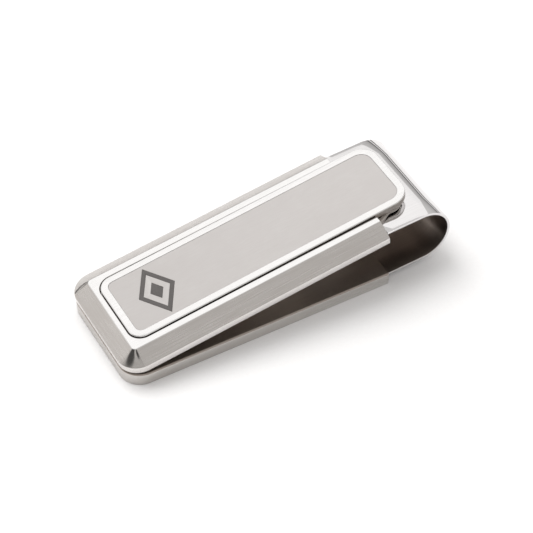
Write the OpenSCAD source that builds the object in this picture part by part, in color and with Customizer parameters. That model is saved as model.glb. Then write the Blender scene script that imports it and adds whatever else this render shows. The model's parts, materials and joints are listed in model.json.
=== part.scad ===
// Sprung money clip: a spring strip folded into a U carries a base tray on its lower arm
// and, on a hinge pin in its rolled upper end, a bevelled clamp frame with a lever plate.
// X runs from the nose to the fold, Y across, Z up from the surface it lies on.

/* [Clamp frame] */
// Width over the frame and the base
clip_w = 19; // [15:0.1:24]
// Length of the side rails, nose to cut ends
rail_l = 41.1; // [32:0.1:50]
// Height of the frame bar
frame_h = 2.65; // [2.2:0.05:3.4]
// Height of the upright lip below the bevel
lip_h = 1.25; // [0.8:0.05:1.5]
// Width of the bevel, seen from above
bevel_run = 2.3; // [1.5:0.05:2.8]
// Width of the flat land on top of the bar
land_w = 1; // [0.6:0.05:1.5]
// Corner radius of the lip
corner_r = 3.2; // [1.5:0.1:4.5]
// Corner radius of the top land
land_r = 0.6; // [0.3:0.1:1.2]
// Slope of the closed frame against the base
frame_pitch = 8.5; // [6:0.1:10]
// Gap between the closed nose and the base
nose_gap = 0.03; // [0.02:0.01:0.1]
// Length of the shelf under the lever's nose
shelf_l = 5.5; // [4.5:0.1:8]

/* [Lever] */
// Distance along the frame to the lever's slot
lever_set = 3.02; // [2.7:0.02:3.6]
// Length of the tail past the cut rail ends
tail_l = 5.45; // [4:0.05:7]
// Gap between the lever and the slot
slot_gap = 0.15; // [0.1:0.01:0.3]
// Height of the lever above the land at its nose
lever_proud = 0.14; // [0.05:0.01:0.4]
// Slope of the lever against the frame
lever_tilt = 0.3; // [0:0.05:0.8]
// Depth of the turned-down edge
lever_edge = 1.05; // [0.8:0.05:1.3]
// Thickness of the top sheet
lever_sheet = 0.6; // [0.5:0.05:0.8]
// Thickness of the turned-down edge
skirt_t = 0.6; // [0.4:0.05:0.9]
// Plan radius of the nose corners
lever_nose_r = 2; // [1:0.1:3]
// Plan radius of the tail corners
lever_tail_r = 2.8; // [1.5:0.1:4]
// Length of the solid nose block
block_l = 6; // [5:0.1:8]

/* [Inlay and emblem] */
// Border of the lever around the inlay
inlay_border = 1.05; // [0.7:0.05:1.5]
// Thickness of the inlay sheet
inlay_t = 0.24; // [0.15:0.01:0.3]
// Depth of the inlay's face below the border
inlay_drop = 0.02; // [0.01:0.01:0.06]
// Plan radius of the inlay's nose corners
inlay_nose_r = 1; // [0.5:0.1:2]
// Plan radius of the inlay's tail corners
inlay_tail_r = 1.8; // [1:0.1:3]
// Distance from the lever's nose to the emblem's centre
emblem_x = 6.5; // [4.5:0.1:12]
// Emblem size along the clip
emblem_l = 5.6; // [4:0.1:6.5]
// Inlay left beside the emblem
emblem_side = 0.5; // [0.3:0.1:1.5]
// Depth of the emblem's filled engraving
emblem_t = 0.12; // [0.08:0.01:0.2]
// Width of the emblem's lines
emblem_line = 0.75; // [0.4:0.05:1]

/* [Base] */
// Height of the base tray
base_h = 2.05; // [1.6:0.05:2.6]
// Thickness of its top sheet
base_sheet = 1; // [0.6:0.05:1.3]
// Thickness of its rim
base_wall = 0.8; // [0.5:0.05:1.2]
// Plan radius of its front corners
base_r = 3.2; // [1.5:0.1:4.5]
// Distance from the rivets to each end of the buried arm
rivet_set = 5; // [3:0.5:8]

/* [Spring strip] */
// Thickness of the strip
band_t = 0.4; // [0.3:0.02:0.45]
// Gap between the strip and the base's rim
band_side = 0.12; // [0.08:0.01:0.2]
// Height of the upper arm above the rails' lower ends
arm_up = 1.3; // [1.1:0.05:1.5]
// Slope of the fold's two arms
fold_pitch = 4; // [2:0.1:6]
// Straight length from the base's end to the fold
fold_run = 6.3; // [4.5:0.1:9]
// Distance from the nose to the buried end of the strip
arm_set = 8; // [6:0.5:16]
// Gap between the strip's shoulders and the cut rail ends
shoulder_gap = 0.15; // [0.12:0.01:0.3]
// Gap between the narrow tongue and the lever's ears
tongue_gap = 0.25; // [0.15:0.05:0.5]

/* [Hinge] */
// Radius of the hinge pin
pin_r = 0.45; // [0.35:0.05:0.6]
// Running clearance around the pin
pin_fit = 0.03; // [0.02:0.01:0.05]
// Distance from the pin to the cut rail ends
pin_back = 4.55; // [4:0.05:6]
// Height of the pin above the frame's lower face
pin_up = 1.08; // [0.95:0.01:1.25]
// Depth of the blind bores in the rails
pin_depth = 2; // [1:0.1:2.4]
// Radius of the lever's ears around the pin
ear_r = 0.95; // [0.8:0.05:1]

/* [Bow spring] */
// Thickness of the bow leaf
leaf_t = 0.4; // [0.2:0.02:0.45]
// Length of its narrow tab on the tongue
leaf_tab = 2.6; // [2.2:0.1:3]
// Gap between the tab and the pin's centre
leaf_set = 1.5; // [1.2:0.1:1.8]
// Distance from the leaf's end to the end of the lever's tail
leaf_short = 0.9; // [0.5:0.1:2]
// Gap between the leaf and what it bears on
leaf_gap = 0.02; // [0.01:0.01:0.05]
// How far the leaf's foot stands out past each side of the lever
leaf_flare = 0.9; // [0.4:0.1:1.2]
// Length over which the foot narrows to the lever's width
leaf_foot = 1.8; // [1:0.1:2.5]
// Plan radius of the leaf's end corners
leaf_end_r = 2; // [0.5:0.1:2.5]
// Radius of the small rivets
rivet_r = 0.5; // [0.4:0.05:0.7]
// Clearance around a rivet's shank
rivet_fit = 0.02; // [0.01:0.01:0.04]

/* [Hidden] */
$fn = 64;
eps = 0.01;
fp = frame_pitch;
lp = frame_pitch + lever_tilt;
nose_z = base_h + nose_gap;
// A point given in the frame's own slope, as [x, z] on the clip
function on_frame(x, z) = [x * cos(fp) - z * sin(fp), nose_z + x * sin(fp) + z * cos(fp)];
rail_end = on_frame(rail_l, 0);
pin_at = on_frame(rail_l - pin_back, pin_up);
lever_at = on_frame(lever_set + slot_gap, frame_h + lever_proud);
lever_w = clip_w - 2 * (bevel_run + land_w + slot_gap);
lever_l = (rail_end[0] + tail_l - lever_at[0]) / cos(lp);
function lever_z(x) = lever_at[1] + (x - lever_at[0]) * tan(lp);
inlay_w = lever_w - 2 * inlay_border;
emblem_w = inlay_w - 2 * emblem_side;
base_l = rail_end[0] + band_side;
band_w = clip_w - 2 * (base_wall + band_side);
tongue_w = lever_w - 2 * (skirt_t + tongue_gap);
arm_z = base_h - base_sheet - band_t / 2;
// The fold's radius brings the upper arm level with the rails' ends
fold_m = (rail_end[1] + arm_up - band_t / 2 - arm_z + band_side * tan(fold_pitch)) * cos(fold_pitch) / 2;
fold_r = fold_m + band_t / 2;
fold_c = [base_l + fold_run * cos(fold_pitch) - fold_m * sin(fold_pitch),
          arm_z + fold_run * sin(fold_pitch) + fold_m * cos(fold_pitch)];
mid_x = (fold_c[0] + fold_r - lip_h * sin(fp)) / 2;
// Middle of the upper arm's thickness at a distance x from the nose
function arm_mid(x) = fold_c[1] + fold_m / cos(fold_pitch) + (x - fold_c[0]) * tan(fold_pitch);
shoulder_x = rail_end[0] - (arm_up - band_t) * tan(fp) + shoulder_gap;
shoulder = [shoulder_x, arm_mid(shoulder_x)];
eye_r = pin_r + pin_fit + band_t;
eye_m = eye_r - band_t / 2;
to_pin = shoulder - pin_at;
tongue_pitch = atan2(to_pin[1], to_pin[0]) - asin(eye_m / norm(to_pin));
tongue_l = sqrt(to_pin * to_pin - eye_m * eye_m);
// Straight length of the upper arm from the shoulders to the fold
arm_l = (fold_c[0] - shoulder[0]) / cos(fold_pitch) - fold_m * tan(fold_pitch);
leaf_w = lever_w - 2 * leaf_gap;
leaf_end = rail_end[0] + tail_l - leaf_short;
leaf_run = (leaf_end - shoulder[0]) / cos(fold_pitch);
leaf_mid = (shoulder[0] + leaf_end) / 2;
// How far the leaf's arch stands off the arm where it meets the lever's edge
leaf_rise = (lever_z(leaf_mid) - lever_edge / cos(lp) - arm_mid(leaf_mid) - band_t / 2) * cos(fold_pitch)
    - leaf_t - 3 * leaf_gap;
leaf_span = leaf_run - leaf_t;
leaf_bow = (leaf_span * leaf_span / 4 + leaf_rise * leaf_rise) / (2 * leaf_rise);

module placed() { translate([-mid_x, 0, 0]) children(); }
module in_frame() { translate([0, 0, nose_z]) rotate([0, -fp, 0]) children(); }
module in_lever() { translate([lever_at[0], 0, lever_at[1]]) rotate([0, -lp, 0]) children(); }
// Local X along the tongue from the top of the eye, Z off its upper face
module on_tongue() {
    translate([pin_at[0], 0, pin_at[1]]) rotate([0, -tongue_pitch, 0])
        translate([0, 0, eye_r]) children();
}
// Local X along the upper arm from the shoulders, Z off its upper face
module on_arm() {
    translate([shoulder[0], 0, shoulder[1]]) rotate([0, -fold_pitch, 0])
        translate([0, 0, band_t / 2]) children();
}
// A round rod that lies across the clip
module cross_rod(r, w) { rotate([90, 0, 0]) cylinder(r = r, h = w, center = true); }
// A flat shape in X and Z, drawn out along Y
module profile(w) { rotate([90, 0, 0]) linear_extrude(w, center = true) children(); }

// Rounded plate outline: nose corners at x = 0, tail corners at x = l
module outline(l, w, nose_r, tail_r) {
    translate([nose_r, -w / 2 + nose_r]) circle(nose_r);
    translate([nose_r, w / 2 - nose_r]) circle(nose_r);
    if (tail_r > 0) {
        translate([l - tail_r, -w / 2 + tail_r]) circle(tail_r);
        translate([l - tail_r, w / 2 - tail_r]) circle(tail_r);
    }
    translate([nose_r, -w / 2]) square([l - nose_r - tail_r, w]);
    translate([0, -w / 2 + nose_r]) square([nose_r + eps, w - 2 * nose_r]);
    translate([l - tail_r - eps, -w / 2 + tail_r]) square([tail_r + eps, w - 2 * tail_r]);
}

module base_rivet_places() {
    for (x = [arm_set + rivet_set, base_l - rivet_set], y = [-band_w / 4, band_w / 4])
        translate([x, y, 0]) children();
}

module base_plate() {
    color([0.62, 0.60, 0.58]) placed() difference() {
        linear_extrude(base_h) outline(base_l, clip_w, base_r, 0);
        translate([base_wall, 0, -eps]) linear_extrude(base_h - base_sheet + eps)
            outline(base_l, clip_w - 2 * base_wall, base_r - base_wall / 2, 0);
        base_rivet_places() cylinder(r = rivet_r + rivet_fit, h = base_h + 1);
    }
}

module base_rivets() {
    color([0.55, 0.54, 0.52]) placed() base_rivet_places() {
        translate([0, 0, arm_z - band_t / 2]) cylinder(r = rivet_r, h = base_sheet + band_t);
        translate([0, 0, arm_z - band_t / 2 - rivet_r / 2]) cylinder(r = 2 * rivet_r, h = rivet_r / 2);
    }
}

module spring_rivet_places() {
    for (y = [-tongue_w / 4, tongue_w / 4])
        translate([leaf_set + leaf_tab / 2, y, 0]) children();
}

module spring_band() {
    bend = base_l;
    color([0.80, 0.80, 0.80]) placed() difference() {
        union() {
            // Lower arm in the tray, then the run up to the fold
            translate([arm_set, -band_w / 2, arm_z - band_t / 2]) cube([bend - arm_set, band_w, band_t]);
            translate([bend, 0, arm_z]) rotate([0, -fold_pitch, 0])
                translate([-band_t / 4, -band_w / 2, -band_t / 2]) cube([fold_run + band_t / 4, band_w, band_t]);
            // Fold
            translate([fold_c[0], 0, fold_c[1]]) rotate([0, -fold_pitch, 0]) difference() {
                cross_rod(fold_r, band_w);
                cross_rod(fold_r - band_t, band_w + 1);
                translate([-2 * fold_r, -clip_w, -2 * fold_r]) cube([2 * fold_r, 2 * clip_w, 4 * fold_r]);
            }
            // Upper arm from the fold to the shoulders
            on_arm() translate([0, -band_w / 2, -band_t]) cube([arm_l + eps, band_w, band_t]);
            // Narrow tongue and rolled eye, the eye a hair under the tongue's face so that they join
            on_tongue() translate([0, -tongue_w / 2, -band_t]) cube([tongue_l + band_t / 4, tongue_w, band_t]);
            difference() {
                translate([pin_at[0], 0, pin_at[1]]) cross_rod(eye_r - eps, tongue_w);
                translate([pin_at[0], 0, pin_at[1]]) rotate([0, -tongue_pitch, 0])
                    translate([0, -clip_w / 2, pin_r - band_t]) mirror([0, 0, 1])
                    cube([2 * eye_r, clip_w, pin_r]);
            }
        }
        translate([pin_at[0], 0, pin_at[1]]) cross_rod(pin_r + pin_fit, tongue_w + 1);
        on_tongue() spring_rivet_places() translate([0, 0, -band_t - 1])
            cylinder(r = rivet_r + rivet_fit, h = band_t + 2);
        base_rivet_places() cylinder(r = rivet_r + rivet_fit, h = base_h);
    }
}

module hinge_pin() {
    w = lever_w + 2 * (slot_gap + pin_depth - pin_fit);
    color([0.70, 0.70, 0.70]) placed() translate([pin_at[0], 0, pin_at[1]]) cross_rod(pin_r, w);
}

// Plan of the arched part of the leaf, from just ahead of the shoulders
module leaf_plan() {
    half = leaf_w / 2;
    step = leaf_t / 2;
    square_end = step + leaf_run - leaf_end_r;
    polygon([[0, -half], [step, -half], [step, -half - leaf_flare], [step + leaf_foot, -half],
        [square_end, -half], [square_end, half],
        [step + leaf_foot, half], [step, half + leaf_flare], [step, half], [0, half]]);
    for (side = [-1, 1]) translate([square_end, side * (half - leaf_end_r)]) circle(leaf_end_r);
    translate([square_end - eps, leaf_end_r - half]) square([leaf_end_r + eps, leaf_w - 2 * leaf_end_r]);
}

module bow_spring() {
    step = leaf_t;
    color([0.66, 0.64, 0.62]) placed() difference() {
        union() {
            // Tab on the tongue
            on_tongue() translate([leaf_set, -tongue_w / 2, leaf_gap])
                cube([tongue_l - leaf_set, tongue_w, leaf_t]);
            on_tongue() translate([tongue_l - step, -leaf_w / 2, leaf_gap]) cube([step, leaf_w, leaf_t]);
            // Arch with both ends on the arm and its crown under the lever's edge
            on_arm() intersection() {
                translate([leaf_run / 2, 0, leaf_gap + leaf_rise - leaf_bow]) difference() {
                    cross_rod(leaf_bow + leaf_t, clip_w);
                    cross_rod(leaf_bow, clip_w + 1);
                }
                translate([-leaf_t / 2, 0, leaf_gap]) linear_extrude(2 * leaf_bow) leaf_plan();
            }
        }
        on_tongue() spring_rivet_places() translate([0, 0, -1]) cylinder(r = rivet_r + rivet_fit, h = leaf_t + 2);
    }
}

module spring_rivets() {
    color([0.55, 0.54, 0.52]) placed() on_tongue() spring_rivet_places() {
        translate([0, 0, -band_t - leaf_gap]) cylinder(r = rivet_r, h = band_t + leaf_t + 2 * leaf_gap);
        translate([0, 0, -band_t - leaf_gap - rivet_r / 2]) cylinder(r = 1.6 * rivet_r, h = rivet_r / 2);
    }
}

module lever_rivet_places() {
    for (y = [-lever_w / 4, lever_w / 4])
        translate([lever_set + shelf_l / 2 + slot_gap, y, 0]) children();
}
shelf_h = frame_h + lever_proud - lever_edge - leaf_gap;
head_h = rivet_r;

module clamp_frame() {
    color([0.72, 0.70, 0.68]) placed() in_frame() difference() {
        hull($fn = 32) {
            linear_extrude(lip_h) outline(rail_l, clip_w, corner_r, 0);
            translate([bevel_run, 0, frame_h - eps]) linear_extrude(eps)
                outline(rail_l - bevel_run, clip_w - 2 * bevel_run, land_r, 0);
        }
        // Slot for the lever, left open at the back, with a shelf under its nose
        translate([lever_set, 0, shelf_h]) linear_extrude(frame_h)
            outline(rail_l, lever_w + 2 * slot_gap, lever_nose_r + slot_gap, 0);
        translate([lever_set + shelf_l, -lever_w / 2 - slot_gap, -1])
            cube([rail_l, lever_w + 2 * slot_gap, frame_h + 2]);
        lever_rivet_places() {
            translate([0, 0, -1]) cylinder(r = rivet_r + rivet_fit, h = frame_h + 1);
            translate([0, 0, -1]) cylinder(r = 2 * rivet_r + rivet_fit, h = 1 + head_h);
        }
        translate([rail_l - pin_back, 0, pin_up])
            cross_rod(pin_r + pin_fit, lever_w + 2 * (slot_gap + pin_depth));
    }
}

module lever_rivets() {
    color([0.55, 0.54, 0.52]) placed() in_frame() lever_rivet_places() {
        cylinder(r = rivet_r, h = shelf_h + lever_edge / 2);
        translate([0, 0, 0.05]) cylinder(r = 2 * rivet_r, h = head_h - 0.05);
    }
}

module lever_plate() {
    side = lever_w / 2 - skirt_t;
    color([0.85, 0.84, 0.83]) placed() difference() {
        union() {
            in_lever() difference() {
                translate([0, 0, -lever_edge]) linear_extrude(lever_edge)
                    outline(lever_l, lever_w, lever_nose_r, lever_tail_r);
                translate([block_l, 0, -lever_edge - 1]) linear_extrude(1 + lever_edge - lever_sheet)
                    outline(lever_l - block_l - skirt_t, 2 * side, skirt_t, lever_tail_r - skirt_t);
                translate([inlay_border, 0, -inlay_t - inlay_drop]) linear_extrude(1)
                    outline(lever_l - 2 * inlay_border, inlay_w, inlay_nose_r, inlay_tail_r);
            }
            // Ears that hang from the edge onto the pin
            for (m = [0, 1]) mirror([0, m, 0]) translate([0, side, 0]) {
                translate([pin_at[0], skirt_t, pin_at[1]]) rotate([90, 0, 0]) cylinder(r = ear_r, h = skirt_t);
                translate([pin_at[0] - ear_r, 0, pin_at[1]])
                    cube([2 * ear_r, skirt_t, lever_z(pin_at[0] - ear_r) - pin_at[1] - lever_sheet]);
            }
        }
        translate([pin_at[0], 0, pin_at[1]]) cross_rod(pin_r + pin_fit, clip_w);
        in_frame() lever_rivet_places() translate([0, 0, shelf_h - 1])
            cylinder(r = rivet_r + rivet_fit, h = 1 + lever_edge / 2 + 2 * leaf_gap);
    }
}

// Two nested lozenges, the outer one open, with a bar at each end
module emblem_shape() {
    l = emblem_l / 2;
    w = emblem_w / 2;
    difference() {
        polygon([[-l, 0], [0, -w], [l, 0], [0, w]]);
        polygon([[-l, 0], [0, -w], [l, 0], [0, w]] * (1 - 2 * emblem_line / emblem_l));
    }
    polygon([[-l, 0], [0, -w], [l, 0], [0, w]] * 0.36);
}

module inlay_panel() {
    color([0.80, 0.79, 0.78]) placed() in_lever() translate([inlay_border, 0, -inlay_t - inlay_drop]) difference() {
        linear_extrude(inlay_t) outline(lever_l - 2 * inlay_border - 2 * rivet_fit, inlay_w - 2 * rivet_fit,
                                        inlay_nose_r, inlay_tail_r);
        translate([emblem_x - inlay_border, 0, inlay_t - emblem_t]) linear_extrude(1) emblem_shape();
    }
}

module emblem_fill() {
    color([0.28, 0.27, 0.27]) placed() in_lever()
        translate([emblem_x, 0, -inlay_drop - emblem_t]) linear_extrude(emblem_t) emblem_shape();
}

base_plate();
base_rivets();
spring_band();
hinge_pin();
bow_spring();
spring_rivets();
clamp_frame();
lever_plate();
lever_rivets();
inlay_panel();
emblem_fill();
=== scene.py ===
import json
from math import asin, atan2, cos, degrees, hypot, pi, radians, sin, tan

import bmesh
import bpy
from mathutils import Matrix, Vector


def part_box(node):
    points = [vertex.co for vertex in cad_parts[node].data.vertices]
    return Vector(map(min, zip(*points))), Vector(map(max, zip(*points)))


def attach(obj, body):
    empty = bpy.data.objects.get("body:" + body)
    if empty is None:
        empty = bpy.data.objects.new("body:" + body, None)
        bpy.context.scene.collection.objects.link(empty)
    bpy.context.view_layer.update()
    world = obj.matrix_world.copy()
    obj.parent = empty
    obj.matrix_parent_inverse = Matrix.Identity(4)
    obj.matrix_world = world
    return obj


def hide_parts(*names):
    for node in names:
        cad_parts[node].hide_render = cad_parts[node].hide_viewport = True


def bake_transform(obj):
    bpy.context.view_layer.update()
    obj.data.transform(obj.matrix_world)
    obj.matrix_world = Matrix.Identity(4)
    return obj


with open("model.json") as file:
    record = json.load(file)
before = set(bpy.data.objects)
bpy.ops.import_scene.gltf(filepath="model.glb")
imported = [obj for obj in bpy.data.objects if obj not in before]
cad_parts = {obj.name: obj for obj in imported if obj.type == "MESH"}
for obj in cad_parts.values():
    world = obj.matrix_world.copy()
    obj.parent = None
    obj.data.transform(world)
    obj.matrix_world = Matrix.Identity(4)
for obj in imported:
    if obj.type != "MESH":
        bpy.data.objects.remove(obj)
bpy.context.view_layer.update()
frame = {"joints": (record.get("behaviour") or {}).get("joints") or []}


# Base tray: the lower jaw, a shallow tray pressed from stainless sheet with a turned-down rim.
# It is ground all over to a satin finish with its lines along the clip. The strip's lower arm
# lies inside it and is riveted up against its sheet.
MM = 0.001
CLIP_W = 19.0
BASE_H = 2.05
BASE_SHEET = 1.0
BASE_WALL = 0.8
CORNER_R = 3.2
RIM_R = 0.28
base_lo, base_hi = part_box("base_plate")
NOSE = base_lo.x / MM
BASE_L = (base_hi.x - base_lo.x) / MM
on_clip = Matrix.Translation((NOSE, 0, 0))


def rounded_plate(length, width, nose_r, tail_r, low, high, steps=16):
    """A flat plate with its nose at x = 0 and its upright corners rounded."""
    bm = bmesh.new()
    bmesh.ops.create_cube(bm, size=1, matrix=Matrix.Translation((length / 2, 0, (low + high) / 2))
                          @ Matrix.Diagonal((length, width, high - low, 1)))
    for radius, end in ((nose_r, 0), (tail_r, length)):
        upright = [e for e in bm.edges if abs(e.verts[0].co.z - e.verts[1].co.z) > 1e-6
                   and abs(e.verts[0].co.x - end) < 1e-4]
        if radius:
            bmesh.ops.bevel(bm, geom=upright, offset=radius, affect="EDGES", segments=steps, profile=0.5,
                            material=-1)
    return bm


def make_piece(name, bm, place=on_clip, sharp=35):
    """A mesh becomes a piece in its place on the clip, still in millimetres while it is shaped."""
    bmesh.ops.transform(bm, matrix=place, verts=bm.verts)
    bmesh.ops.recalc_face_normals(bm, faces=bm.faces)
    mesh = bpy.data.meshes.new(name)
    bm.to_mesh(mesh)
    bm.free()
    mesh.shade_smooth()
    mesh.set_sharp_from_angle(angle=radians(sharp))
    obj = bpy.data.objects.new(name, mesh)
    bpy.context.scene.collection.objects.link(obj)
    return obj


def shape_with(obj, kind, sharp=35, **settings):
    """Applies one modifier to a piece and keeps the result as its mesh."""
    modifier = obj.modifiers.new(kind.lower(), kind)
    for key, value in settings.items():
        setattr(modifier, key, value)
    shaped = bpy.data.meshes.new_from_object(obj.evaluated_get(bpy.context.evaluated_depsgraph_get()))
    obj.modifiers.clear()
    old, obj.data = obj.data, shaped
    bpy.data.meshes.remove(old)
    shaped.shade_smooth()
    shaped.set_sharp_from_angle(angle=radians(sharp))


def cut_with(obj, bm, place=on_clip, operation="DIFFERENCE"):
    tool = make_piece("cutter", bm, place)
    shape_with(obj, "BOOLEAN", operation=operation, solver="EXACT", object=tool)
    bpy.data.objects.remove(tool)


def ease_edges(obj, radius, steps=3, angle=40, sharp=35):
    shape_with(obj, "BEVEL", sharp, width=radius, segments=steps, limit_method="ANGLE",
               angle_limit=radians(angle), use_clamp_overlap=False, miter_outer="MITER_ARC")


def dress(obj, *finishes):
    """Brings the shaped piece to the frame's metres and gives it its finishes."""
    obj.data.transform(Matrix.Scale(MM, 4))
    for finish in finishes:
        obj.data.materials.append(finish)


def linear(colour):
    values = [int(colour[i:i + 2], 16) / 255 for i in (0, 2, 4)]
    return tuple(v / 12.92 if v <= 0.04045 else ((v + 0.055) / 1.055) ** 2.4 for v in values) + (1.0,)


def add(tree, kind, links=(), **settings):
    """Adds a node. A setting is a property, or in_N for the value of its input N."""
    made = tree.nodes.new(kind)
    for key, value in settings.items():
        if key.startswith("in_"):
            made.inputs[int(key[3:])].default_value = value
        else:
            setattr(made, key, value)
    for number, source in links:
        tree.links.new(source, made.inputs[number])
    return made


PATCH_MM = 4.0


def bare_steel(name, colour, worn, roughness, spread, grain, line_mm, depth, pitch=0.0):
    """Bare steel with drawn-out grinding lines. grain is the line's stretch along x, y and z,
    and pitch turns the lines to a sloping piece. The colour drifts a little towards worn in
    broad patches and on the rubbed edges."""
    mat = bpy.data.materials.new(name)
    mat.use_nodes = True
    tree = mat.node_tree
    tree.nodes.clear()
    place = add(tree, "ShaderNodeTexCoord").outputs["Object"]
    turned = add(tree, "ShaderNodeMapping", [(0, place)], in_2=(0, radians(pitch), 0))
    lines = add(tree, "ShaderNodeMapping", [(0, turned.outputs[0])], in_3=grain)
    line = add(tree, "ShaderNodeTexNoise", [(0, lines.outputs[0])], in_2=1 / (line_mm * MM), in_3=2.0, in_4=0.55)
    patch = add(tree, "ShaderNodeTexNoise", [(0, place)], in_2=1 / (PATCH_MM * MM), in_3=2.0)
    rubbed = add(tree, "ShaderNodeMapRange", [(0, add(tree, "ShaderNodeNewGeometry").outputs["Pointiness"])],
                 in_1=0.52, in_2=0.6, in_3=0.0, in_4=1.0)
    mix = add(tree, "ShaderNodeMapRange", [(0, line.outputs["Fac"])], in_1=0.3, in_2=0.7, in_3=0.0, in_4=1.0)
    drift = add(tree, "ShaderNodeMath", [(0, mix.outputs[0]), (1, patch.outputs["Fac"])], operation="MULTIPLY")
    wear = add(tree, "ShaderNodeMath", [(0, drift.outputs[0]), (1, rubbed.outputs[0])], operation="MAXIMUM")
    tone = add(tree, "ShaderNodeMix", [(0, wear.outputs[0])], data_type="RGBA", in_6=linear(colour),
               in_7=linear(worn))
    gloss = add(tree, "ShaderNodeMapRange", [(0, wear.outputs[0])], in_1=0.0, in_2=1.0,
                in_3=roughness + spread, in_4=max(roughness - spread, 0.02))
    relief = add(tree, "ShaderNodeBump", [(2, line.outputs["Fac"])], in_0=1.0, in_1=depth * MM)
    shader = add(tree, "ShaderNodeBsdfPrincipled", [(0, tone.outputs[2]), (2, gloss.outputs[0])],
                 in_1=1.0)
    tree.links.new(relief.outputs[0], shader.inputs["Normal"])
    add(tree, "ShaderNodeOutputMaterial", [(0, shader.outputs[0])])
    return mat


# Satin ground stainless: the belt's lines run along the clip, so a highlight spreads across
# them. The real lines are about 0.05 mm apart, drawn here 0.16 mm apart so that they show.
satin_along = bare_steel("satin_ground_stainless_along", "C3BFBB", "D2CFCC", 0.30, 0.05, (0.03, 1, 1), 0.16,
                         0.0022)

# Dull ground stainless with painted shade: the faces that close on the notes are left as ground, and
# their darker, warmer colour is painted shade, standing in for the light that dies away between the jaws.
ground_painted_shade = bare_steel("ground_stainless_painted_shade", "A1978F", "ABA199", 0.38, 0.05, (0.05, 1, 1), 0.2, 0.0008)

bm = rounded_plate(BASE_L, CLIP_W, CORNER_R, 0, 0, BASE_H)
rim = [e for e in bm.edges if all(v.co.z > BASE_H - 1e-4 for v in e.verts)
       and not all(v.co.x > BASE_L - 1e-3 for v in e.verts)]
bmesh.ops.bevel(bm, geom=rim, offset=RIM_R, affect="EDGES", segments=5, profile=0.5, material=-1)
tray = make_piece("base_tray", bm)
inside = rounded_plate(BASE_L, CLIP_W - 2 * BASE_WALL, CORNER_R - BASE_WALL / 2, 0, -1, BASE_H - BASE_SHEET)
cut_with(tray, inside, on_clip @ Matrix.Translation((BASE_WALL, 0, 0)))
ease_edges(tray, 0.14)
# The tray's upward faces get the darker steel: painted shade from the jaw above.
for face in tray.data.polygons:
    if abs(face.normal.z) > 0.45 and face.center.z > 0.5:
        face.material_index = 1
dress(tray, satin_along, ground_painted_shade)
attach(tray, "base")
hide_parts("base_plate")


# Base rivets: four round-headed steel rivets that hold the strip's lower arm up against the
# tray. Their heads were snapped by a rounded punch and lie under the strip, inside the tray.
RIVET_R = 0.5
BAND_T = 0.4
ARM_Z = BASE_H - BASE_SHEET - BAND_T / 2
ARM_SET = 8.0
RIVET_SET = 5.0
BAND_W = (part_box("spring_band")[1].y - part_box("spring_band")[0].y) / MM


def rivet(places, shank, head_r, head_h, dome=0.35):
    """Turns one headed rivet, its head below z = 0 and its shank above, and repeats it."""
    bm = bmesh.new()
    side = [(0, shank), (0.8 * RIVET_R, shank), (RIVET_R, shank - 0.2 * RIVET_R), (RIVET_R, 0), (head_r, 0),
            (head_r, -head_h * (1 - dome)), (0.82 * head_r, -head_h * 0.92), (0.5 * head_r, -head_h), (0, -head_h)]
    points = [bm.verts.new((r, 0, z)) for r, z in side]
    for a, b in zip(points, points[1:]):
        bm.edges.new((a, b))
    bmesh.ops.spin(bm, geom=bm.verts[:] + bm.edges[:], cent=(0, 0, 0), axis=(0, 0, 1), angle=2 * pi,
                   steps=32, use_merge=True)
    bmesh.ops.remove_doubles(bm, verts=bm.verts, dist=1e-5)
    one = bm.verts[:] + bm.edges[:] + bm.faces[:]
    for spot in places[1:]:
        copy = bmesh.ops.duplicate(bm, geom=one)["geom"]
        bmesh.ops.translate(bm, vec=Vector(spot) - Vector(places[0]),
                            verts=[g for g in copy if isinstance(g, bmesh.types.BMVert)])
    bmesh.ops.translate(bm, vec=places[0], verts=bm.verts)
    return bm


# Turned rivet steel: the punch leaves a fine mottled face, so it shines softly and unevenly.
rivet_steel = bare_steel("punched_rivet_steel", "A9A6A2", "C9C6C3", 0.28, 0.08, (1, 1, 1), 0.12, 0.003)

spots = [(x, y, ARM_Z - BAND_T / 2) for x in (ARM_SET + RIVET_SET, BASE_L - RIVET_SET)
         for y in (-BAND_W / 4, BAND_W / 4)]
base_rivets = make_piece("base_tray_rivets", rivet(spots, BAND_T + BASE_SHEET * 0.98, 2 * RIVET_R, RIVET_R / 2))
dress(base_rivets, rivet_steel)
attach(base_rivets, "base")
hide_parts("base_rivets")


# Spring strip: one length of hardened spring steel 0.4 mm thick, polished to a mirror. Its
# lower arm lies in the tray, it folds round through half a turn, and its narrow tongue is
# rolled into the eye of the hinge.
FOLD_PITCH = 4.0
FOLD_RUN = 6.3
FRAME_PITCH = 8.5
RAIL_L = 41.1
PIN_R = 0.45
PIN_FIT = 0.03
SHOULDER_GAP = 0.15
ARM_UP = 1.3
hinge_at = {j["name"]: Vector(j["pos_m"]) / MM - Vector((NOSE, 0, 0)) for j in frame["joints"]}
fold_at, pin_at = hinge_at["band_flex"], hinge_at["jaw_hinge"]
fold_m = hypot(fold_at.x - BASE_L - FOLD_RUN * cos(radians(FOLD_PITCH)),
               fold_at.z - ARM_Z - FOLD_RUN * sin(radians(FOLD_PITCH)))
NOSE_GAP = 0.03
nose_z = BASE_H + NOSE_GAP
rail_end = Vector((RAIL_L * cos(radians(FRAME_PITCH)), 0, nose_z + RAIL_L * sin(radians(FRAME_PITCH))))
shoulder_x = rail_end.x - (ARM_UP - BAND_T) * tan(radians(FRAME_PITCH)) + SHOULDER_GAP
shoulder = Vector((shoulder_x, 0, fold_at.z + fold_m / cos(radians(FOLD_PITCH))
                   + (shoulder_x - fold_at.x) * tan(radians(FOLD_PITCH))))
eye_m = PIN_R + PIN_FIT + BAND_T / 2
to_pin = shoulder - pin_at
tongue_turn = atan2(to_pin.z, to_pin.x) - asin(eye_m / to_pin.length)
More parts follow.
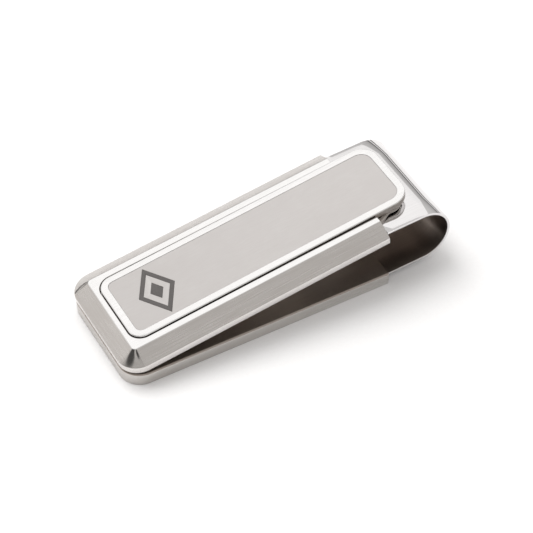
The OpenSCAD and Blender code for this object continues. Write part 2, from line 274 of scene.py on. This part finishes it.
tongue_l = (to_pin.length ** 2 - eye_m ** 2) ** 0.5
arm_l = (fold_at.x - shoulder.x) / cos(radians(FOLD_PITCH)) - fold_m * tan(radians(FOLD_PITCH))
BEVEL_RUN = 2.3
LAND_W = 1.0
SLOT_GAP = 0.15
SKIRT = 0.6
TONGUE_GAP = 0.25
LEVER_W = CLIP_W - 2 * (BEVEL_RUN + LAND_W + SLOT_GAP)
TONGUE_W = LEVER_W - 2 * (SKIRT + TONGUE_GAP)


def strip_start(bm, at, *halves):
    """The cut end of a strip, drawn across the clip, with a point at each half width."""
    ends = sorted([-h for h in halves] + list(halves))
    row = [bm.verts.new((at[0], y, at[1])) for y in ends]
    return [bm.edges.new(pair) for pair in zip(row, row[1:])]


def run_on(bm, edges, turn, length, steps=1):
    """Draws the strip on in a straight line, at a slope in radians."""
    for _ in range(steps):
        new = bmesh.ops.extrude_edge_only(bm, edges=edges)["geom"]
        bmesh.ops.translate(bm, vec=Vector((cos(turn), 0, sin(turn))) * (length / steps),
                            verts=[g for g in new if isinstance(g, bmesh.types.BMVert)])
        edges = [g for g in new if isinstance(g, bmesh.types.BMEdge)]
    return edges


def roll(bm, edges, centre, angle, steps):
    """Bends the strip on round a line across the clip; a positive angle lifts its end."""
    new = bmesh.ops.spin(bm, geom=edges, cent=centre, axis=(0, -1, 0), angle=angle, steps=steps)["geom_last"]
    return [g for g in new if isinstance(g, bmesh.types.BMEdge)]


# Polished spring steel: buffed along its length to a near mirror, with faint lines left in it.
mirror_steel = bare_steel("buffed_spring_steel", "DEDCDC", "EDECEC", 0.05, 0.02, (0, 1, 0), 0.2, 0.0003)
# Inside of the strip: the faces that look into the fold get a rougher, dark brown-grey steel; the dark colour is
# painted shade inside the bend and between the jaws.
strip_inside_painted_shade = bare_steel("spring_steel_inside_painted_shade", "8E847D", "9C928B", 0.30, 0.04, (0, 1, 0), 0.25, 0.0002)

bm = bmesh.new()
edges = strip_start(bm, (ARM_SET, ARM_Z), BAND_W / 2, TONGUE_W / 2)
edges = run_on(bm, edges, 0, BASE_L - ARM_SET, 8)
edges = run_on(bm, edges, radians(FOLD_PITCH), FOLD_RUN, 6)
edges = roll(bm, edges, fold_at, pi, 48)
edges = run_on(bm, edges, pi + radians(FOLD_PITCH), arm_l, 6)
middle = [e for e in edges if all(abs(v.co.y) < TONGUE_W / 2 + 1e-4 for v in e.verts)]
middle = run_on(bm, middle, pi + tongue_turn, tongue_l, 3)
roll(bm, middle, pin_at, radians(230), 28)
strip = make_piece("spring_strip", bm)
shape_with(strip, "SOLIDIFY", thickness=BAND_T, offset=0, use_even_offset=True)
ease_edges(strip, 0.06, 2, 50)
# Faces that look in towards the fold get the dark steel: painted shade inside the bend.
for face in strip.data.polygons:
    out = face.center - on_clip @ fold_at
    if out.x * face.normal.x + out.z * face.normal.z < -0.5 * hypot(out.x, out.z) and face.center.z < pin_at.z + 2:
        face.material_index = 1
dress(strip, mirror_steel, strip_inside_painted_shade)
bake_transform(strip)
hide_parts("spring_band")


# Hinge pin: a drawn steel rod with chamfered ends. It passes through the strip's eye and the
# lever's two ears, and its ends sit in blind bores in the frame's rails.
pin_w = (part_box("hinge_pin")[1].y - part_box("hinge_pin")[0].y) / MM
bm = bmesh.new()
bmesh.ops.create_cone(bm, cap_ends=True, segments=48, radius1=PIN_R, radius2=PIN_R, depth=pin_w,
                      matrix=Matrix.Translation(pin_at) @ Matrix.Rotation(pi / 2, 4, "X"))
pin = make_piece("drawn_hinge_pin", bm)
ease_edges(pin, 0.08, 2, 50)
# Drawn rod steel: the die leaves long, faint scores down its length.
pin_steel = bare_steel("drawn_rod_steel", "B4B1AE", "CFCCC9", 0.22, 0.05, (1, 0.03, 1), 0.1, 0.001)
dress(pin, pin_steel)
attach(pin, "arm")
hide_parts("hinge_pin")


# Bow spring: a ground spring steel leaf 0.4 mm thick. Its narrow tab is riveted on the strip's
# tongue, its foot spreads past the lever, and it arches off the arm to bear on the lever's edge.
LEAF_T = 0.4
LEAF_SET = 1.5
LEAF_GAP = 0.02
LEAF_FLARE = 0.9
LEAF_FOOT = 1.8
LEAF_END_R = 2.0
LEVER_PITCH = 8.8
LEVER_EDGE = 1.05
TAIL_L = 5.45
LEAF_SHORT = 0.9
FRAME_H = 2.65
LEVER_PROUD = 0.14
LEVER_SET = 3.02
lever_u, lever_v = LEVER_SET + SLOT_GAP, FRAME_H + LEVER_PROUD
lever_at = Vector((lever_u * cos(radians(FRAME_PITCH)) - lever_v * sin(radians(FRAME_PITCH)), 0,
                   nose_z + lever_u * sin(radians(FRAME_PITCH)) + lever_v * cos(radians(FRAME_PITCH))))
LEVER_L = (rail_end.x + TAIL_L - lever_at.x) / cos(radians(LEVER_PITCH))
leaf_end = rail_end.x + TAIL_L - LEAF_SHORT
leaf_run = (leaf_end - shoulder.x) / cos(radians(FOLD_PITCH))
leaf_mid = (shoulder.x + leaf_end) / 2
edge_z = lever_at.z + (leaf_mid - lever_at.x) * tan(radians(LEVER_PITCH)) \
    - LEVER_EDGE / cos(radians(LEVER_PITCH))
arm_z = shoulder.z + (leaf_mid - shoulder.x) * tan(radians(FOLD_PITCH))
leaf_rise = (edge_z - arm_z - BAND_T / 2) * cos(radians(FOLD_PITCH)) - LEAF_T - 3 * LEAF_GAP
leaf_span = leaf_run - LEAF_T
leaf_bow = (leaf_span ** 2 / 4 + leaf_rise ** 2) / (2 * leaf_rise)
leaf_w = LEVER_W - 2 * LEAF_GAP
on_arm = Matrix.Translation(shoulder) @ Matrix.Rotation(-radians(FOLD_PITCH), 4, "Y") \
    @ Matrix.Translation((0, 0, BAND_T / 2))
on_tongue = Matrix.Translation(pin_at) @ Matrix.Rotation(-tongue_turn, 4, "Y") \
    @ Matrix.Translation((0, 0, eye_m + BAND_T / 2))


def leaf_half(u):
    """The leaf's half width at a distance along the arm: a spread foot and a rounded end."""
    half = leaf_w / 2 + LEAF_FLARE * max(0, 1 - max(u, 0) / LEAF_FOOT) * (u > 0.01)
    past = max(0, u - (leaf_run - LEAF_END_R))
    return half - LEAF_END_R + (LEAF_END_R ** 2 - min(past, LEAF_END_R * 0.995) ** 2) ** 0.5


middle_r = leaf_bow + LEAF_T / 2
arch_z = LEAF_GAP + leaf_rise - leaf_bow
rows = [(u, LEAF_GAP + LEAF_T / 2 if abs(u - leaf_run / 2) > leaf_span / 2
         else arch_z + (middle_r ** 2 - (u - leaf_run / 2) ** 2) ** 0.5)
        for u in [-LEAF_T / 2, 0, 0.06] + [(leaf_run - LEAF_END_R) * k / 14 for k in range(1, 14)]
        + [leaf_run - LEAF_END_R * (1 - sin(pi / 2 * k / 14)) for k in range(15)]]
bm = bmesh.new()
grid = []
for u, z in rows:
    half = leaf_half(u)
    inner = min(TONGUE_W / 2, half * 0.97)
    grid.append([bm.verts.new(on_arm @ Vector((u, y, z))) for y in (-half, -inner, inner, half)])
for near, far in zip(grid, grid[1:]):
    for k in range(3):
        bm.faces.new((near[k], near[k + 1], far[k + 1], far[k]))
edges = [bm.edges.get((grid[0][1], grid[0][2]))]
run_on(bm, edges, pi + tongue_turn, tongue_l - LEAF_SET - LEAF_T / 2, 3)
leaf = make_piece("bow_leaf", bm)
shape_with(leaf, "SOLIDIFY", thickness=LEAF_T, offset=0, use_even_offset=True)
ease_edges(leaf, 0.05, 2, 50)
# Ground leaf steel: tempered brown-grey and left with the grinding lines of its edge.
leaf_steel = bare_steel("tempered_leaf_steel", "A39C96", "C6C1BC", 0.24, 0.06, (0.04, 1, 1), 0.12, 0.0015)
dress(leaf, leaf_steel)
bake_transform(leaf)
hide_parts("bow_spring")


# Leaf rivets: two small rivets through the leaf's tab and the strip's tongue, their heads below.
LEAF_TAB = 2.6
spots = [(LEAF_SET + LEAF_TAB / 2, y, -BAND_T - LEAF_GAP) for y in (-TONGUE_W / 4, TONGUE_W / 4)]
grip = BAND_T + LEAF_T + 2 * LEAF_GAP
leaf_rivets = make_piece("leaf_tab_rivets", rivet(spots, grip, 1.6 * RIVET_R, RIVET_R / 2), on_clip @ on_tongue)
dress(leaf_rivets, rivet_steel)
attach(leaf_rivets, "arm")
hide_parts("spring_rivets")


# Clamp frame: the upper jaw, a U-shaped bar machined from stainless with an upright lip, a
# broad bevel and a narrow flat land. The bevel is belt ground along each side, and the land
# and the cone where two bevels meet are polished. A shelf closes it under the lever's nose.
LIP_H = 1.25
LAND_R = 0.6
NOSE_R = 2.0
SHELF_L = 5.5
shelf_h = FRAME_H + LEVER_PROUD - LEVER_EDGE - LEAF_GAP
in_frame = on_clip @ Matrix.Translation((0, 0, nose_z)) @ Matrix.Rotation(-radians(FRAME_PITCH), 4, "Y")

bm = rounded_plate(RAIL_L, CLIP_W, CORNER_R, 0, 0, LIP_H, 20)
top = [f for f in bm.faces if f.normal.z > 0.9]
raised = bmesh.ops.extrude_face_region(bm, geom=top)["geom"]
bmesh.ops.delete(bm, geom=top, context="FACES_ONLY")
upper = [g for g in raised if isinstance(g, bmesh.types.BMVert)]
bmesh.ops.translate(bm, vec=(0, 0, FRAME_H - LIP_H), verts=upper)
for v in upper:
    side = 1 if v.co.y > 0 else -1
    if v.co.x < CORNER_R + 1e-5:
        share = LAND_R / CORNER_R
        v.co.x = BEVEL_RUN + LAND_R + (v.co.x - CORNER_R) * share
        v.co.y = side * (CLIP_W / 2 - BEVEL_RUN - LAND_R) + (v.co.y - side * (CLIP_W / 2 - CORNER_R)) * share
    else:
        v.co.y = side * (CLIP_W / 2 - BEVEL_RUN)
foot = [e for e in bm.edges if all(v.co.z < 1e-4 for v in e.verts)
        and not all(abs(v.co.x - RAIL_L) < 1e-3 for v in e.verts)]
bmesh.ops.bevel(bm, geom=foot, offset=RIM_R, affect="EDGES", segments=4, profile=0.5, material=-1)
clamp = make_piece("clamp_frame_bar", bm, in_frame)
slot = rounded_plate(RAIL_L, LEVER_W + 2 * SLOT_GAP, NOSE_R + SLOT_GAP, 0, 0, FRAME_H, 20)
cut_with(clamp, slot, in_frame @ Matrix.Translation((LEVER_SET, 0, shelf_h)))
slot = rounded_plate(RAIL_L, LEVER_W + 2 * SLOT_GAP, 0, 0, -1, FRAME_H)
cut_with(clamp, slot, in_frame @ Matrix.Translation((LEVER_SET + SHELF_L, 0, 0)))
ease_edges(clamp, 0.09, 3, 24)

# Polished stainless: buffed on a soft wheel; a mirror with only hairline scratches.
polished = bare_steel("buffed_stainless", "E9E8E7", "F3F2F2", 0.09, 0.03, (0.1, 1, 1), 0.25, 0.0003)
# Satin bevels: ground with a belt along each side, so the lines turn with the side.
bevel_along = bare_steel("belt_ground_stainless_along", "C2BDB9", "D6D3D0", 0.26, 0.05, (0.03, 1, 1), 0.16,
                         0.0018, FRAME_PITCH)
bevel_across = bare_steel("belt_ground_stainless_across", "C6C1BD", "D6D3D0", 0.26, 0.05, (1, 0.03, 1), 0.16,
                          0.0018, FRAME_PITCH)
# The lip is ground a little finer than the bevel and given a lighter colour, painted light for the bright floor it
# reflects; the corner cones are mopped round by hand.
lip_painted_light = bare_steel("fine_ground_lip_painted_light", "D8D4D1", "E2DFDD", 0.24, 0.04, (0.05, 1, 1), 0.16, 0.0012,
                       FRAME_PITCH)
mopped = bare_steel("mopped_stainless_corner", "B5B1AD", "C6C3C0", 0.09, 0.03, (0.3, 0.3, 1), 0.2, 0.0002)
ALONG, ACROSS, BUFFED, LIP, CONE, SHADED = range(6)
flat = in_frame.inverted().to_3x3()
for face in clamp.data.polygons:
    n = flat @ face.normal
    at = in_frame.inverted() @ face.center
    turn = degrees(atan2(abs(n.y), -n.x))
    inside = abs(at.y) < LEVER_W / 2 + SLOT_GAP + 0.01 and at.x > LEVER_SET - 0.01
    # Undersides and the slot's walls get the darker steel: painted shade under the frame and inside the slot.
    if n.z < -0.5 or inside and n.z < 0.5:
        face.material_index = SHADED
    elif n.z > 0.93:
        face.material_index = BUFFED
    # Upright lip faces get the lighter steel: painted light, a reflection of the bright floor.
    elif n.z < 0.3:
        face.material_index = LIP
    elif 18 < turn < 80:
        face.material_index = CONE
    elif turn <= 18:
        face.material_index = ACROSS
dress(clamp, bevel_along, bevel_across, polished, lip_painted_light, mopped, ground_painted_shade)
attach(clamp, "jaw")
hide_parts("clamp_frame")


# Lever plate: a stainless shell pressed with a turned-down edge, buffed to a mirror. It fills
# the frame's slot, is riveted to its shelf at the nose, and its tail stands past the rails.
# Two ears hang from its edge onto the hinge pin.
SHEET = 0.6
BLOCK_L = 6.0
RECESS_NOSE_R = 1.0
RECESS_TAIL_R = 1.8
TAIL_R = 2.8
BORDER = 1.05
INLAY_T = 0.24
INLAY_DROP = 0.02
EAR_R = 0.95
in_lever = on_clip @ Matrix.Translation(lever_at) @ Matrix.Rotation(-radians(LEVER_PITCH), 4, "Y")

lever = make_piece("lever_shell", rounded_plate(LEVER_L, LEVER_W, NOSE_R, TAIL_R, -LEVER_EDGE, 0, 20), in_lever)
cut_with(lever, rounded_plate(LEVER_L - BLOCK_L - SKIRT, LEVER_W - 2 * SKIRT, SKIRT, TAIL_R - SKIRT,
                              -LEVER_EDGE - 1, -SHEET), in_lever @ Matrix.Translation((BLOCK_L, 0, 0)))
ease_edges(lever, 0.14, 4, 40)
inlay_w = LEVER_W - 2 * BORDER
cut_with(lever, rounded_plate(LEVER_L - 2 * BORDER, inlay_w, RECESS_NOSE_R, RECESS_TAIL_R,
                              -INLAY_T - INLAY_DROP, 1, 16), in_lever @ Matrix.Translation((BORDER, 0, 0)))
ear_top = lever_at.z + (pin_at.x - EAR_R - lever_at.x) * tan(radians(LEVER_PITCH)) - SHEET / 2 - pin_at.z
for side in (-1, 1):
    bm = bmesh.new()
    bmesh.ops.create_cone(bm, cap_ends=True, segments=32, radius1=EAR_R, radius2=EAR_R, depth=SKIRT - 0.04,
                          matrix=Matrix.Rotation(pi / 2, 4, "X"))
    for v in bm.verts:
        if v.co.z > 0.01:
            v.co.z = ear_top
    rims = [e for e in bm.edges if abs(e.verts[0].co.y - e.verts[1].co.y) < 1e-4]
    bmesh.ops.bevel(bm, geom=rims, offset=0.06, affect="EDGES", segments=2, profile=0.5, material=-1)
    ear_at = pin_at + Vector((0, side * (LEVER_W - SKIRT) / 2, 0))
    cut_with(lever, bm, on_clip @ Matrix.Translation(ear_at), "UNION")
bore = PIN_R + PIN_FIT
bm = bmesh.new()
bmesh.ops.create_cone(bm, cap_ends=True, segments=32, radius1=bore, radius2=bore, depth=CLIP_W,
                      matrix=Matrix.Rotation(pi / 2, 4, "X"))
cut_with(lever, bm, on_clip @ Matrix.Translation(pin_at))
# Satin edge: the side of the shell is left as ground, so it stays grey beside the bright border.
satin_edge = bare_steel("satin_edge_stainless", "A8A29D", "C4BFBA", 0.30, 0.06, (0.03, 1, 1), 0.14, 0.002,
                        LEVER_PITCH)
flat = in_lever.inverted().to_3x3()
for face in lever.data.polygons:
    if abs((flat @ face.normal).z) < 0.3:
        face.material_index = 1
dress(lever, polished, satin_edge)
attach(lever, "jaw")
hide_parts("lever_plate")


# Lever rivets: two countersunk rivets that hold the lever's nose block down on the shelf.
SINK = 0.55
spots = [(LEVER_SET + SHELF_L / 2 + SLOT_GAP, y, SINK) for y in (-LEVER_W / 4, LEVER_W / 4)]
grip = shelf_h + LEVER_EDGE / 2 - SINK
lever_rivets = make_piece("lever_nose_rivets", rivet(spots, grip, 2 * RIVET_R, 0.5, 0.2), in_frame)
dress(lever_rivets, rivet_steel)
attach(lever_rivets, "jaw")
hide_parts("lever_rivets")


# Inlay: a thin satin sheet bedded flush in the lever's recess, with the ornament engraved in it.
EMBLEM_X = 6.5
EMBLEM_L = 5.6
EMBLEM_T = 0.12
LINE_W = 0.75
HEART = 0.36
INLAY_PLAY = 0.02
emblem_w = inlay_w - 1.0


def lozenges(high):
    """A lozenge ring round a solid lozenge, from z = 0 up."""
    bm = bmesh.new()
    rings = []
    for share in (1.0, 1 - 2 * LINE_W / EMBLEM_L):
        made = bmesh.ops.create_circle(bm, cap_ends=False, segments=4, radius=1,
                                       matrix=Matrix.Diagonal((share * EMBLEM_L / 2, share * emblem_w / 2, 1, 1)))
        rings += list({e for v in made["verts"] for e in v.link_edges})
    bmesh.ops.bridge_loops(bm, edges=rings)
    bmesh.ops.create_circle(bm, cap_ends=True, segments=4, radius=1,
                            matrix=Matrix.Diagonal((HEART * EMBLEM_L / 2, HEART * emblem_w / 2, 1, 1)))
    bmesh.ops.recalc_face_normals(bm, faces=bm.faces)
    new = bmesh.ops.extrude_face_region(bm, geom=bm.faces[:], use_keep_orig=True)["geom"]
    bmesh.ops.translate(bm, vec=(0, 0, high), verts=[g for g in new if isinstance(g, bmesh.types.BMVert)])
    return bm


sheet = rounded_plate(LEVER_L - 2 * BORDER - 2 * INLAY_PLAY, inlay_w - 2 * INLAY_PLAY, RECESS_NOSE_R,
                      RECESS_TAIL_R, 0, INLAY_T, 16)
inlay = make_piece("inlay_sheet", sheet,
                   in_lever @ Matrix.Translation((BORDER + INLAY_PLAY, 0, -INLAY_T - INLAY_DROP)))
cut_with(inlay, lozenges(1), in_lever @ Matrix.Translation((EMBLEM_X, 0, -INLAY_DROP - EMBLEM_T)))
ease_edges(inlay, 0.03, 2, 50, sharp=20)
# Satin inlay steel: a very fine, even grain, so it goes from grey to pale without a hard glint.
inlay_satin = bare_steel("fine_satin_inlay_steel", "D5D1CF", "D9D6D4", 0.42, 0.03, (0.1, 1, 1), 0.16, 0.0005,
                         LEVER_PITCH)
dress(inlay, inlay_satin)
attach(inlay, "jaw")
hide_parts("inlay_panel")


# Emblem: grey enamel run into the engraving, stoned flush and fired to a soft shine.
emblem = make_piece("emblem_enamel", lozenges(EMBLEM_T),
                    in_lever @ Matrix.Translation((EMBLEM_X, 0, -INLAY_DROP - EMBLEM_T)))
ease_edges(emblem, 0.02, 2, 50)
# Fired enamel: a warm dark grey with fine specks, a little glossier than the satin round it.
enamel = bpy.data.materials.new("fired_grey_enamel")
enamel.use_nodes = True
tree = enamel.node_tree
tree.nodes.clear()
place = add(tree, "ShaderNodeTexCoord").outputs["Object"]
specks = add(tree, "ShaderNodeTexNoise", [(0, place)], in_2=1 / (0.3 * MM), in_3=3.0)
tone = add(tree, "ShaderNodeMix", [(0, specks.outputs["Fac"])], data_type="RGBA", in_6=linear("4A4746"),
           in_7=linear("5E5A58"))
gloss = add(tree, "ShaderNodeMapRange", [(0, specks.outputs["Fac"])], in_1=0.3, in_2=0.7, in_3=0.3, in_4=0.42)
relief = add(tree, "ShaderNodeBump", [(2, specks.outputs["Fac"])], in_0=0.6, in_1=0.002 * MM)
shader = add(tree, "ShaderNodeBsdfPrincipled", [(0, tone.outputs[2]), (2, gloss.outputs[0])])
tree.links.new(relief.outputs[0], shader.inputs["Normal"])
add(tree, "ShaderNodeOutputMaterial", [(0, shader.outputs[0])])
dress(emblem, enamel)
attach(emblem, "jaw")
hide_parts("emblem_fill")


# Floor: a white paper sweep, flat under the clip and lit until it reads as pure white.
bm = bmesh.new()
bmesh.ops.create_grid(bm, x_segments=2, y_segments=2, size=1500)
floor = make_piece("paper_floor", bm, Matrix())
# Matt white paper: no shine at all, only the faint unevenness of its fibres.
paper = bpy.data.materials.new("matt_white_paper")
paper.use_nodes = True
tree = paper.node_tree
tree.nodes.clear()
place = add(tree, "ShaderNodeTexCoord").outputs["Object"]
fibre = add(tree, "ShaderNodeTexNoise", [(0, place)], in_2=1 / (0.5 * MM), in_3=2.0)
tone = add(tree, "ShaderNodeMix", [(0, fibre.outputs["Fac"])], data_type="RGBA", in_6=linear("F6F5F5"),
           in_7=linear("FBFBFB"))
shader = add(tree, "ShaderNodeBsdfDiffuse", [(0, tone.outputs[2])])
add(tree, "ShaderNodeOutputMaterial", [(0, shader.outputs[0])])
dress(floor, paper)


# Lights: a broad soft box above and behind gives the white on every top face. A second one, high
# at the back on the left, washes the floor and isn't seen in the metal. The room's soft grey
# comes from the world, which is dim high up on the left, where the corner cones look.
def soft_box(name, direction, distance, size, glow, on_metal=True):
    """glow is how bright its face looks, where 1 is pure white."""
    lamp = bpy.data.lights.new(name, "AREA")
    lamp.shape = "RECTANGLE"
    lamp.size, lamp.size_y = size
    lamp.energy = glow * pi * size[0] * size[1]
    lamp_obj = bpy.data.objects.new(name, lamp)
    out = Vector(direction).normalized()
    turn = out.to_track_quat("Z", "Y").to_matrix().to_4x4()
    lamp_obj.matrix_world = Matrix.Translation(out * distance) @ turn
    lamp_obj.visible_camera = False
    lamp_obj.visible_glossy = on_metal
    bpy.context.scene.collection.objects.link(lamp_obj)


soft_box("rear_soft_box", (0.27, 0.60, 0.75), 0.36, (0.38, 0.26), 0.42)
soft_box("floor_wash", (-0.22, 0.42, 0.87), 0.6, (0.5, 0.5), 3.2, on_metal=False)

world = bpy.data.worlds.new("studio")
bpy.context.scene.world = world
world.use_nodes = True
tree = world.node_tree
tree.nodes.clear()
way = add(tree, "ShaderNodeTexCoord").outputs["Generated"]


def toward(direction, inner, outer):
    """1 inside a cone round a direction, 0 outside, with a soft edge; angles in degrees."""
    facing = add(tree, "ShaderNodeVectorMath", [(0, way)], operation="DOT_PRODUCT",
                 in_1=tuple(Vector(direction).normalized()))
    return add(tree, "ShaderNodeMapRange", [(0, facing.outputs["Value"])], interpolation_type="SMOOTHSTEP",
               in_1=cos(radians(outer)), in_2=cos(radians(inner)), in_3=0.0, in_4=1.0).outputs[0]


# Up from the horizon: a dark skirting, a bright strip, a dark rail, then walls that pale upwards.
height = add(tree, "ShaderNodeSeparateXYZ", [(0, way)])
walls = add(tree, "ShaderNodeValToRGB", [(0, height.outputs[2])])
bands = walls.color_ramp
for at, level in ((0.0, 0.12), (0.055, 0.12), (0.07, 1.0), (0.13, 1.0), (0.145, 0.12), (0.19, 0.13),
                  (0.23, 0.46), (0.36, 0.58), (0.5, 0.66), (0.72, 0.74)):
    stop = bands.elements[0] if at == 0 else bands.elements.new(at)
    stop.color = (level, level * 0.985, level * 0.97, 1)
bands.elements.remove(bands.elements[-1])
room = walls.outputs[0]
for direction, inner, outer, level in (
        ((-0.65, 0.60, 0.46), 12, 34, 0.95), ((-0.68, 0.03, 0.74), 13, 22, 0.12),
        ((-0.49, -0.23, 0.84), 2, 6, 0.85), ((-0.29, -0.36, 0.89), 3, 8, 0.04)):
    room = add(tree, "ShaderNodeMix", [(0, toward(direction, inner, outer)), (6, room)], data_type="RGBA",
               in_7=(level, level * 0.985, level * 0.97, 1)).outputs[2]
glow = add(tree, "ShaderNodeBackground", [(0, room)], in_1=1.0)
add(tree, "ShaderNodeOutputWorld", [(0, glow.outputs[0])])


# Camera: a long lens from the front left, well above the clip.
lens = bpy.data.cameras.new("camera")
lens.sensor_width = 36
lens.lens = 135.08
lens.clip_start = 0.01
camera = bpy.data.objects.new("camera", lens)
eye, look = Vector((-0.09419, -0.16863, 0.20672)), Vector((0.00031, -0.00090, 0.003257))
camera.matrix_world = Matrix.Translation(eye) @ (eye - look).to_track_quat("Z", "Y").to_matrix().to_4x4() \
    @ Matrix.Rotation(radians(0.19), 4, "Z")
bpy.context.scene.collection.objects.link(camera)
bpy.context.scene.camera = camera
bpy.context.scene.view_settings.view_transform = "Standard"
